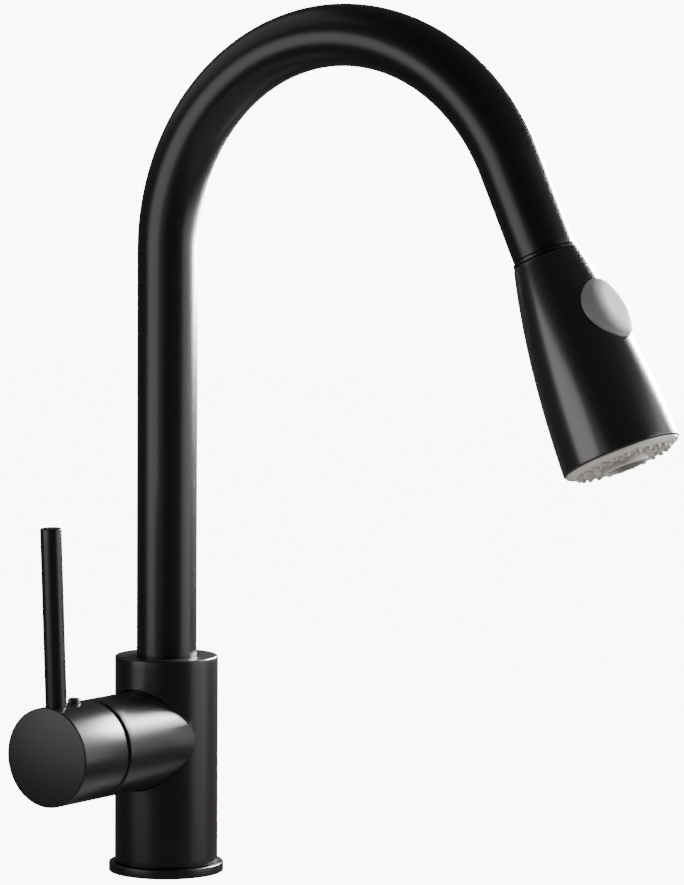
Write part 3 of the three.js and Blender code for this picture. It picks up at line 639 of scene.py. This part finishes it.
def moulded_black(name, polish):
    """Black moulded plastic with a fine satin texture under a polished skin of the given weight."""
    finish = Finish(name)
    grain = finish.noise(finish.place(), 1600, 3)
    return finish.done(
        base_color=finish.blend(grain, (0.006, 0.006, 0.007), (0.011, 0.011, 0.012)),
        roughness=0.38 + 0.12 * grain,
        coat_weight=polish,
        coat_roughness=0.06,
        normal=finish.bump(grain, 0.00003, 0.4),
    )


black_plastic = moulded_black("moulded_black", 0.0)
plug_outline = rounded([
    (0, plug_top - 3.9, 0),
    (plug_radius, plug_top - 3.9, 0.2),
    (plug_radius, plug_top - 0.2, 1.1),
    (1.3, plug_top, 0.5),
    (1.0, plug_top - 0.4, 0.2),
    (0, plug_top - 0.4, 0),
])
plug_cap = turned("plug_cap", plug_outline, plug_line, 64, closed=False)
fit(plug_cap, "handle", moulded_black("polished_black", 1.0), "matte_black", "index_plug")


# ------------------------------------------------------------------ spout joint
# A brass spigot soldered into the spout's foot turns in the column on two O-rings and a plastic
# glide ring. A screw through the back of the column runs in its groove and keeps it from lifting.

refinish(brass, "spout_adapter")
refinish(rubber, "spout_seal_lower", "spout_seal_upper")
refinish(white_plastic, "spout_glide_ring")

screw_radius = (screw_high[0] - screw_low[0]) / 2
screw_outline = rounded([
    (0, screw_low[1], 0),
    (screw_radius, screw_low[1], 0.2),
    (screw_radius, screw_high[1], 0.3),
    (0, screw_high[1], 0),
])
keeper_screw = turned("keeper_screw", screw_outline, backward, 48, closed=False)
key_socket = drill_bit(backward, 1.15, screw_high[1] - 2.2, screw_high[1] + 1, sides=6)
shaped(keeper_screw, "DIFFERENCE", key_socket)
fit(keeper_screw, "body", steel, "steel", "spout_retaining_screw")


# ------------------------------------------------------------------ spout
# The gooseneck is one drawn tube bent round a single arch, coated like the body. A plastic dock
# bushing is pressed into its end and shows as a thin collar between tube and spray head.

spout_end = np.array(joints["head_spin"]["pos_m"]) / MM
head_axis = np.array(joints["head_spin"]["axis"])
head_axis = head_axis / np.linalg.norm(head_axis)
sweep = math.atan2(-head_axis[1], head_axis[2])
arch_radius = 99.05
end_length = (-spout_end[1] - arch_radius * (1 - math.cos(sweep))) / math.sin(sweep)
arch_start = spout_end[2] - arch_radius * math.sin(sweep) - end_length * math.cos(sweep)
tube_foot = box_mm("spout_tube")[0][2]
tube_length = arch_start + arch_radius * sweep + end_length
tube_wall = 1.5


def gooseneck(along):
    """The spout's centre line by its length from the deck: straight up to the arch's start, then
    y = -R (1 - cos turn), z = start + R sin turn, then straight on along the last tangent."""
    turn = np.clip((along - arch_start) / arch_radius, 0, sweep)
    straight_up = np.minimum(along, arch_start)
    past = np.maximum(along - arch_start - arch_radius * sweep, 0)
    y = -arch_radius * (1 - np.cos(turn)) - past * np.sin(turn)
    z = straight_up + arch_radius * np.sin(turn) + past * np.cos(turn)
    zero = np.zeros_like(along)
    centre = np.stack([zero, y, z], axis=-1)
    x_axis = np.stack([zero + 1, zero, zero], axis=-1)
    y_axis = np.stack([zero, np.cos(turn), np.sin(turn)], axis=-1)
    return centre, x_axis, y_axis


tube_outline = finely(rounded([
    (tube_radius - tube_wall, tube_foot, 0),
    (tube_radius, tube_foot, 0.2),
    (tube_radius, tube_length - 0.15, 0.3),
    (tube_radius - tube_wall, tube_length - 0.15, 0.2),
    (tube_radius - tube_wall, tube_foot, 0),
]), 2.5)
spout_tube = turned("gooseneck_tube", tube_outline, gooseneck, 96)
fit(spout_tube, "spout", satin_black, "satin_black", "spout_tube")

down_head = straight(spout_end, (1, 0, 0), head_axis)
collar_radius = 14.7
collar_height = 1.8
bushing_bore = 10.7
bushing_outline = rounded([
    (bushing_bore, -18, 0),
    (tube_radius - tube_wall - 0.45, -18, 0.4),
    (tube_radius - tube_wall - 0.45, 0.05, 0.1),
    (collar_radius, 0.05, 0.35),
    (collar_radius, collar_height, 0.35),
    (bushing_bore, collar_height, 0.8),
    (bushing_bore, -18, 0),
])
dock_collar = turned("dock_collar", bushing_outline, down_head, 128)
fit(dock_collar, "spout", satin_black, "matte_black", "spout_end_bushing")


# ------------------------------------------------------------------ hose
# A braided nylon hose runs up the column and round the arch to the head. A steel ferrule crimps it
# to a brass tailpiece, whose swivel nut screws into the spray head.

def braided_cover():
    """Woven nylon over the hose: two sets of strands that cross, from the piece's own UV map, whose
    u goes once round and whose v is the length in strand widths."""
    finish = Finish("braided_cover")
    place = finish.place("UV")
    around = finish.node("ShaderNodeSeparateXYZ", {}, {0: place})
    along = around.other(1)
    right = around.math("PINGPONG", around * 12 + along, 0.5) * 2
    left = around.math("PINGPONG", around * 12 - along, 0.5) * 2
    weave = right * left
    return finish.done(
        base_color=finish.blend(weave, (0.012, 0.012, 0.014), (0.085, 0.085, 0.092)),
        roughness=0.62 - 0.16 * weave,
        normal=finish.bump(weave, 0.0004, 0.7),
    )


braid = braided_cover()
hose_radius = 6.5
hose_sides = 48
strand = 3.4  # length of hose in one crossing of the braid
lead_start = -68.0
lead_end = -16.0
pull = joints["head_pull"]["range_m"][1] / MM


def round_uv(length):
    """u once round the hose; v the length along it in braid crossings."""
    around = np.arange(hose_sides + 1) / hose_sides
    return np.stack(np.broadcast_arrays(around[None], (length / strand)[:, None]), axis=-1)


def hose_outline(start, end, step):
    """A hose's outer wall, closed over at both ends."""
    return finely(rounded([
        (0, start, 0),
        (hose_radius, start, 0.4),
        (hose_radius, end, 0.4),
        (0, end, 0),
    ], 3), step)


run_end = tube_length + lead_start - 10
run_outline = hose_outline(1.0, run_end, 3)
run_uv = round_uv(run_outline[:, 1])
hose_run = turned("hose_run", run_outline, gooseneck, hose_sides, closed=False, uv=run_uv)
fit(hose_run, "spout", braid, "hose_braid", "pull_hose_run")

# The lead stretches from inside the spout to the pulled-out head, so its braid is drawn as long as it
# is then: v = along + pull * smoothstep of its place between the two ends.
lead_outline = hose_outline(lead_start, lead_end, 0.25)
lead_from = lead_start + 2
lead_to = lead_end - 4
lead_share = np.clip((lead_outline[:, 1] - lead_from) / (lead_to - lead_from), 0, 1)
lead_length = lead_outline[:, 1] + pull * lead_share**2 * (3 - 2 * lead_share)
lead_uv = round_uv(lead_length)
hose_lead = turned("hose_lead_tube", lead_outline, down_head, hose_sides, closed=False, uv=lead_uv)
hose_lead.data.materials.append(braid)
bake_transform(hose_lead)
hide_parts("pull_hose_lead")


def crimped(along, crimps, depth):
    """How far the ferrule's wall is pressed in: depth * cos^2 within half a crimp's width."""
    pressed = [np.cos(np.clip((along - middle) / 1.6, -1, 1) * np.pi / 2) ** 2 for middle in crimps]
    return depth * np.max(pressed, axis=0)


ferrule_outline = finely(rounded([
    (3.9, lead_end + 0.3, 0),
    (7.6, lead_end + 0.3, 0.5),
    (7.6, -4, 0.5),
    (3.9, -4, 0),
    (3.9, lead_end + 0.3, 0),
]), 0.3)
on_wall = ferrule_outline[:, 0] > 7.5
ferrule_outline[:, 0] -= on_wall * crimped(ferrule_outline[:, 1], (-12.5, -9.8, -7.1), 0.45)
fit(turned("crimp_ferrule", ferrule_outline, down_head, 64), "hose_lead", steel, "steel", "hose_ferrule")
refinish(brass, "hose_tailpiece", "hose_cone_nut")


# ------------------------------------------------------------------ spray head inside
# The white core carries the water past a check valve and the diverter to the nozzle plate. The dock
# neck, a black sleeve on top of it, slips up into the bushing.

refinish(white_plastic, "head_core", "check_valve_body", "check_valve_poppet", "nozzle_plate")
refinish(rubber, "hose_washer", "aerator_seal")

neck_outline = rounded([
    (9.7, -6, 0),
    (10.2, -6, 0.2),
    (10.2, 4.1, 0.1),
    (9.7, 4.1, 0.1),
    (9.7, -6, 0),
], 3)
neck_sleeve = turned("neck_sleeve", neck_outline, down_head, 96)
fit(neck_sleeve, "spray_head", black_plastic, "matte_black", "dock_neck")


# ------------------------------------------------------------------ spray head shell
# The shell is one flared housing with the same coat as the spout, with an oval window for the
# button. It widens quickly at the neck and then eases into a nearly straight rim.

shell_start = 2.1
shell_length = 92.7
shell_rim = shell_start + shell_length
shell_neck_radius = 15.15
shell_rim_radius = 26.6
shell_wall = 1.8


def shell_radius(along):
    """The shell's outer radius: neck + (rim - neck) * (1.974 u - 1.213 u^2 + 0.239 u^3)."""
    u = np.clip((along - shell_start) / shell_length, 0, 1)
    flare = 1.974 * u - 1.213 * u**2 + 0.239 * u**3
    return shell_neck_radius + (shell_rim_radius - shell_neck_radius) * flare


def shell_outline():
    """The neck's rolled edge, the flared outside, the rim and the inside."""
    roll = 0.9
    outside = np.linspace(shell_start + roll, shell_rim - 0.4, 64)
    turn = np.linspace(0, np.pi / 2, 8)[:-1]
    neck = np.stack([
        shell_radius(shell_start + roll) - roll * (1 - np.sin(turn)),
        shell_start + roll * (1 - np.cos(turn)),
    ], axis=-1)
    wall = np.stack([shell_radius(outside), outside], axis=-1)
    rim = np.stack([
        shell_radius(shell_rim - 0.4) - 0.4 * (1 - np.cos(turn[1:])),
        shell_rim - 0.4 + 0.4 * np.sin(turn[1:]),
    ], axis=-1)
    inside = np.linspace(shell_rim, shell_start + 2, 24)
    inner = np.stack([shell_radius(inside) - shell_wall, inside], axis=-1)
    top = [[10.5, shell_start + 2], [10.5, shell_start]]
    return np.concatenate([neck, wall, rim, inner, top, neck[:1]])


button_at = 33.74
button_half_length = 14.65
button_half_width = 13.4
button_proud = 3.3
button_flatness = 2.0
button_foot = 13.6
button_lip = 0.4
button_dish = 0.25
dish_share = 0.74  # of the crease, where the bend into the top ends
crease_half_width = 10.2
crease_half_length = 12.9
head_y = np.cross(head_axis, (1.0, 0.0, 0.0))


def head_point(x, y, along):
    """A point from its places across, outward and along the spray head."""
    place = np.stack(np.broadcast_arrays(x, y, along), axis=-1)
    return spout_end + place @ np.array([(1.0, 0.0, 0.0), head_y, head_axis])


def oval_post(name, grow, low, high, columns=96):
    """A closed oval post through the shell: x = a cos angle, along = middle + b sin angle."""
    angle = -np.arange(columns) / columns * 2 * np.pi
    share = np.array([0, 1, 1, 0])[:, None]
    height = np.array([low, low, high, high])[:, None]
    x = (button_half_width + grow) * share * np.cos(angle)
    along = button_at + (button_half_length + grow) * share * np.sin(angle)
    return surface(name, head_point(x, height, along))


head_housing = turned("head_housing", shell_outline(), down_head, 192)
shaped(head_housing, "DIFFERENCE", oval_post("window_cutter", 0.3, 8, 40))
fit(head_housing, "spray_head", satin_black_coat("satin_black_plastic", 1.0), "satin_black", "head_shell")


# ------------------------------------------------------------------ button and diverter
# The grey soft-touch button is a moulded cap with a sloping flank and a shallow dish for the thumb.
# Pressing it drives the brass spool that turns the stream into a spray; a coil spring lifts it.

def button_grey():
    """Grey soft-touch plastic."""
    finish = Finish("button_grey")
    grain = finish.noise(finish.place(), 2000, 3)
    cloud = finish.noise(finish.place(), 90, 2)
    return finish.done(
        base_color=finish.blend(cloud, (0.30, 0.30, 0.32), (0.35, 0.35, 0.37)),
        roughness=0.38 + 0.08 * grain,
        normal=finish.bump(grain, 0.00003, 0.3),
    )


def button_top(x, along):
    """The top's height: the shell's own curve a little higher and widened across."""
    proud = shell_radius(along) + button_proud
    return proud * np.sqrt(1 - (x / (button_flatness * proud)) ** 2)


def button_grid(columns=128):
    """Rows from the foot up the upright edge, the sloping flank and the crease, and in over the top.
    The two corners are drawn as the curve (1 - u)^2 a + 2 u (1 - u) corner + u^2 b, and the top dips
    inside the crease by dish * (1 - (share / dish share)^2)^2."""
    angle = -np.arange(columns) / columns * 2 * np.pi

    def ring(half_width, half_length):
        return half_width * np.cos(angle), button_at + half_length * np.sin(angle)

    def bend(first, corner, last, steps=9):
        u = np.linspace(0, 1, steps)[:, None, None]
        return (1 - u) ** 2 * first + 2 * u * (1 - u) * corner + u**2 * last

    x, along = ring(button_half_width, button_half_length)
    foot = np.stack([x, 0 * x + button_foot, along], axis=-1)
    edge = np.stack([x, np.sqrt(shell_radius(along) ** 2 - x**2) + button_lip, along], axis=-1)
    x, along = ring(crease_half_width, crease_half_length)
    crease = np.stack([x, button_top(x, along), along], axis=-1)
    share = np.linspace(dish_share, 0, 24)[:, None]
    x, along = share * x, button_at + share * (along - button_at)
    dip = button_dish * (1 - (share / dish_share) ** 2) ** 2
    top = np.stack([x, button_top(x, along) - dip, along], axis=-1)
    lower_corner = bend(edge - [0, 0.4, 0], edge, edge + 0.14 * (crease - edge), 7)
    upper_corner = bend(crease + 0.45 * (edge - crease), crease, top[0], 14)
    middle = np.array([0.0, button_foot, button_at]) + 0 * foot
    rows = np.concatenate([[middle], [foot], lower_corner, upper_corner, top[1:]])
    return head_point(rows[..., 0], rows[..., 1], rows[..., 2])


grey_plastic = button_grey()
fit(surface("button_cap", button_grid()), "diverter_button", grey_plastic, "button_grey", "spray_button")
refinish(brass, "diverter_spool")


def coil(radius, wire, low, high, turns):
    """A closed helical wire: centre = (R cos a, height, R sin a), with the height in proportion to a."""
    steps = np.linspace(0, 1, turns * 24 + 1)
    angle = steps * turns * 2 * np.pi
    out = np.stack([np.cos(angle), 0 * angle, np.sin(angle)], axis=-1)
    lift = np.array([0.0, 1.0, 0.0])
    centre = out * radius + (low + (high - low) * steps)[:, None] * lift
    section = np.arange(12) / 12 * 2 * np.pi
    ring = np.cos(section)[None, :, None] * out[:, None] + np.sin(section)[None, :, None] * lift
    points = centre[:, None] + wire * ring
    first_pole = centre[:1, None] + 0 * points[:1]
    last_pole = centre[-1:, None] + 0 * points[:1]
    points = np.concatenate([first_pole, points, last_pole])
    return head_point(points[..., 0], points[..., 1], button_at + points[..., 2])


# The coil stands from its foot on the head up to its top under the button.
coil_foot = 4.6
coil_top = 12.7
coil_radius = 6.7
coil_wire = 0.45
spring = surface("button_coil", coil(coil_radius, coil_wire, coil_foot, coil_top, 5))
spring.data.materials.append(steel)
tuple(head_point(0.0, coil_foot, button_at).ravel() * MM)
tuple(head_point(0.0, coil_top, button_at).ravel() * MM)
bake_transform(spring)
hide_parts("button_spring")


# ------------------------------------------------------------------ spray face
# A soft grey face plate with two rings of rubber nubs that shed lime, round a screwed-in aerator
# with a fine steel screen.

def soft_grey():
    """Translucent grey soft plastic."""
    finish = Finish("soft_grey")
    cloud = finish.noise(finish.place(), 300, 3)
    return finish.done(
        base_color=finish.blend(cloud, (0.40, 0.39, 0.365), (0.52, 0.51, 0.485)),
        roughness=0.30 + 0.12 * cloud,
        normal=finish.bump(cloud, 0.00006, 0.4),
        subsurface_weight=0.15,
        subsurface_radius=(0.002, 0.002, 0.0018),
    )


grey_soft = soft_grey()
face_start = shell_rim + 0.3
face_top = face_start + 1.9
face_rim = shell_rim_radius - 0.7
aerator_radius = 10.8
face_outline = rounded([
    (aerator_radius + 0.3, face_start, 0),
    (face_rim, face_start, 0.1),
    (face_rim, face_start + 0.6, 0.25),
    (face_rim - 2.6, face_top, 0.5),
    (aerator_radius + 0.3, face_top, 0.3),
    (aerator_radius + 0.3, face_start, 0),
])
fit(turned("face_plate", face_outline, down_head, 128), "spray_head", grey_soft, "face_grey", "spray_face")


def nub_grid(places, columns=12):
    """One nub's grid at every place at once: a tapered post with a small nozzle mouth in its tip."""
    radius = np.array([0, 1.35, 1.3, 1.1, 1.02, 0.85, 0.45, 0.38, 0])
    height = face_top + np.array([-0.4, -0.4, 0.2, 1.1, 1.42, 1.58, 1.54, 0.9, 0.9])
    angle = np.arange(columns) / columns * 2 * np.pi
    x = places[:, 0, None, None] + radius[:, None] * np.cos(angle)
    y = places[:, 1, None, None] + radius[:, None] * np.sin(angle)
    return head_point(x, y, height[:, None])


def ring_places(radius, count):
    """Even places round a ring."""
    turn = (np.arange(count) + 0.5) / count * 2 * np.pi
    return np.stack([radius * np.cos(turn), radius * np.sin(turn)], axis=-1)


nub_places = np.concatenate([ring_places(20.6, 24), ring_places(16.6, 18)])
fit(surface("spray_nubs", nub_grid(nub_places)), "spray_head", grey_soft, "face_grey")

aerator_proud = 5.2
aerator_end = shell_rim + aerator_proud
aerator_bore = 8.6
aerator_floor = aerator_end - 3.4
aerator_outline = rounded([
    (6.8, 90, 0),
    (8.8, 90, 0.2),
    (8.8, face_start, 0.1),
    (aerator_radius, face_start, 0.2),
    (aerator_radius, aerator_end, 0.7),
    (aerator_bore, aerator_end, 0.3),
    (aerator_bore, aerator_floor, 0.1),
    (6.8, aerator_floor, 0.1),
    (6.8, 90, 0),
])
aerator_ring = turned("aerator_ring", aerator_outline, down_head, 96)
fit(aerator_ring, "spray_head", grey_soft, "face_grey", "aerator_housing")


def wire_screen():
    """Woven steel wire on a square grid, from the piece's UV map: bright wires, with the holes between
    them painted near black as painted shade for the dark inside of the aerator seen through them.
    """
    finish = Finish("wire_screen")
    place = finish.place("UV")
    place_across = finish.node("ShaderNodeSeparateXYZ", {}, {0: place})
    across = place_across.math("PINGPONG", place_across, 0.5) * 2
    along = place_across.math("PINGPONG", place_across.other(1), 0.5) * 2
    wires = across.math("MAXIMUM", across, along)
    clamped = {"operation": "MULTIPLY", "use_clamp": True}
    wire = finish.node("ShaderNodeMath", clamped, {0: wires - 0.55, 1: 5.0})
    # painted shade: where wire is 0 (the holes) the colour is near black, 0.01, in place of the shade seen
    # through the screen
    return finish.done(
        base_color=finish.blend(wire, (0.01, 0.01, 0.01), (0.15, 0.15, 0.145)),
        roughness=0.6 - 0.3 * wire,
        metallic=wire,
        normal=finish.bump(wire, 0.0002, 0.8),
    )


screen_radius = aerator_bore - 0.3
screen_back = aerator_end - 3.1
screen_front = aerator_end - 2.2
screen_outline = rounded([
    (0, screen_back, 0),
    (screen_radius, screen_back, 0.1),
    (screen_radius, screen_front, 0.1),
    (0, screen_front, 0),
], 2)
mesh_width = 0.7
screen_turn = np.arange(65) / 64 * 2 * np.pi
screen_circle = np.stack([np.cos(screen_turn), np.sin(screen_turn)], axis=-1)
screen_uv = screen_outline[:, :1, None] / mesh_width * screen_circle
screen = turned("aerator_mesh", screen_outline, down_head, 64, closed=False, uv=screen_uv)
fit(screen, "spray_head", wire_screen(), "steel", "aerator_screen")


# ------------------------------------------------------------------ floor, light and camera
# A plain pale studio. A wide floor lies a little below the faucet, as a sink's would, in a pale
# surround with large soft lights.

def pale_floor():
    """Matt white paper, lit from below like a light table, with a trace of tooth."""
    finish = Finish("pale_floor")
    tooth = finish.noise(finish.place(), 400, 2)
    return finish.done(
        base_color=finish.blend(tooth, (0.80, 0.80, 0.80), (0.83, 0.83, 0.83)),
        roughness=0.8,
        emission_color=(1.0, 1.0, 1.0, 1.0),
        emission_strength=9.4,
    )


floor_mesh = bpy.data.meshes.new("studio_floor")
floor_drop = 0.25  # the pulled-out head hangs clear of the floor
floor_height = cad_box[0][2] - floor_drop
floor_corners = [(x, y, floor_height) for x, y in ((-6, -6), (6, -6), (6, 6), (-6, 6))]
floor_mesh.from_pydata(floor_corners, [], [(0, 1, 2, 3)])
floor = bpy.data.objects.new("studio_floor", floor_mesh)
floor.data.materials.append(pale_floor())
bpy.context.scene.collection.objects.link(floor)
floor.visible_glossy = False
floor.visible_diffuse = False
floor.visible_shadow = False


def studio_world():
    """A bright backdrop for the camera, and a dim room everywhere else for the faucet to reflect."""
    world = bpy.data.worlds.new("studio")
    world.use_nodes = True
    nodes = world.node_tree.nodes
    links = world.node_tree.links
    seen = nodes.new("ShaderNodeLightPath")
    backdrop = nodes["Background"]
    backdrop.inputs["Color"].default_value = (1.0, 1.0, 1.0, 1.0)
    backdrop.inputs["Strength"].default_value = 10.0
    room = nodes.new("ShaderNodeBackground")
    room.inputs["Color"].default_value = (1.0, 0.92, 0.88, 1.0)
    room.inputs["Strength"].default_value = 0.09
    either = nodes.new("ShaderNodeMixShader")
    links.new(seen.outputs["Is Camera Ray"], either.inputs["Fac"])
    links.new(room.outputs[0], either.inputs[1])
    links.new(backdrop.outputs[0], either.inputs[2])
    links.new(either.outputs[0], nodes["World Output"].inputs["Surface"])
    return world


bpy.context.scene.world = studio_world()


def looking(at, ahead, roll):
    """The place of a camera or lamp that looks ahead, turned by roll about its line of sight."""
    ahead = np.array(ahead, float)
    right = np.cross(ahead, (0, 0, 1))
    right = right / np.linalg.norm(right)
    above = np.cross(right, ahead)
    across = math.cos(roll) * right + math.sin(roll) * above
    upward = -math.sin(roll) * right + math.cos(roll) * above
    matrix = np.eye(4)
    matrix[:3, 0], matrix[:3, 1], matrix[:3, 2], matrix[:3, 3] = across, upward, -ahead, at
    return Matrix(matrix.tolist())


def softbox(name, at, width, height, brightness, tint=(1.0, 1.0, 1.0)):
    """A rectangular soft light at a place in metres that faces the faucet. Its power is
    pi * width * height * brightness."""
    lamp = bpy.data.lights.new(name, "AREA")
    lamp.shape = "RECTANGLE"
    lamp.size = width
    lamp.size_y = height
    lamp.color = tint
    lamp.energy = math.pi * width * height * brightness
    light = bpy.data.objects.new(name, lamp)
    bpy.context.scene.collection.objects.link(light)
    light.visible_camera = False
    ahead = np.array([0.0, -0.08, 0.2]) - np.array(at)
    light.matrix_world = looking(at, ahead / np.linalg.norm(ahead), 0.0)
    return light


softbox("left_card", (-0.92, 0.33, 0.22), 0.78, 0.58, 2.4, (1.0, 0.95, 0.99))
softbox("left_spill", (-0.92, -0.16, 0.24), 0.40, 0.50, 0.45, (1.0, 0.95, 0.99))
softbox("right_card", (0.50, -1.00, 0.30), 0.90, 0.90, 2.0, (1.0, 0.96, 0.99))
softbox("back_window", (0.52, -0.08, 0.34), 0.42, 0.20, 110.0, (0.97, 0.98, 1.0))
softbox("low_card", (0.62, -0.25, -0.55), 0.50, 0.30, 0.5)
softbox("high_card", (-0.30, 1.20, 1.20), 1.50, 1.20, 0.5, (1.0, 0.96, 0.92))
softbox("table_glow", (-0.10, -0.20, -0.50), 1.40, 1.40, 0.35, (1.0, 0.96, 0.93))
softbox("table_fill", (-0.15, -0.40, -0.50), 0.60, 0.60, 3.0).visible_glossy = False
softbox("top_fill", (0.70, -1.10, 0.75), 0.60, 0.60, 26.0).visible_glossy = False

view_heading = math.radians(35.246)
view_pitch = math.radians(-4.775)
view_roll = math.radians(0.346)
camera_data = bpy.data.cameras.new("studio_camera")
camera_data.lens = 170.11
camera_data.sensor_width = 36
camera = bpy.data.objects.new("studio_camera", camera_data)
bpy.context.scene.collection.objects.link(camera)
view_ahead = (
    math.cos(view_heading) * math.cos(view_pitch),
    math.sin(view_heading) * math.cos(view_pitch),
    math.sin(view_pitch),
)
camera.matrix_world = looking((-1.5358, -1.1848, 0.3632), view_ahead, view_roll)
bpy.context.scene.camera = camera
